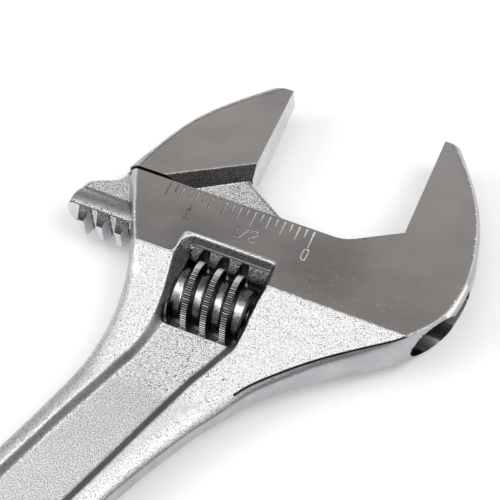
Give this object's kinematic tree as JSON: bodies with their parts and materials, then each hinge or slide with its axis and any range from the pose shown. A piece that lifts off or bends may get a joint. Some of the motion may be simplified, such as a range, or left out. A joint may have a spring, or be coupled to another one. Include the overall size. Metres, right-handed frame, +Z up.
{
  "type": "adjustable wrench",
  "caption": "Open-ended adjustable wrench whose movable jaw is driven along its slide by a knurled worm and a rack.",
  "frame": {"origin": "centre of the bounding box, on the plane that the wrench lies on", "axes": "+X along the handle towards the head, +Y across the handle on the side of the movable jaw, +Z up out of the side with the scale; the jaw closes along (0.3665, -0.9304, 0)"},
  "size_m": [0.254, 0.077, 0.0152],
  "materials": {
    "forged_body": "satin chrome plate: granular forged skin on the handle, ground and brushed head faces",
    "jaw_steel": "satin chrome plate, ground side faces and a smooth jaw face",
    "worm_steel": "polished, with fine ribs across the thread crests",
    "pin_steel": "turned",
    "spring_steel": "drawn wire, oil-tempered"
  },
  "bodies": {
    "frame": {"body": "forged_body", "worm_pin": "pin_steel", "worm_spring": "spring_steel"},
    "jaw": {"movable_jaw": "jaw_steel"},
    "worm": {"worm": "worm_steel"}
  },
  "joints": [
    {"name": "jaw_slide", "type": "slide", "parent": "frame", "child": "jaw", "axis": [0.3665, -0.9304, 0], "range_m": [0, 0.0337]},
    {"name": "worm_spin", "type": "hinge", "parent": "frame", "child": "worm", "pos_m": [0.0677, -0.00057, 0.00761], "axis": [0.3665, -0.9304, 0], "range_deg": [-2880, 10]}
  ],
  "couplings": [
    {"joint": "worm_spin", "follows": "jaw_slide", "rad_per_m": -1484.2}
  ]
}
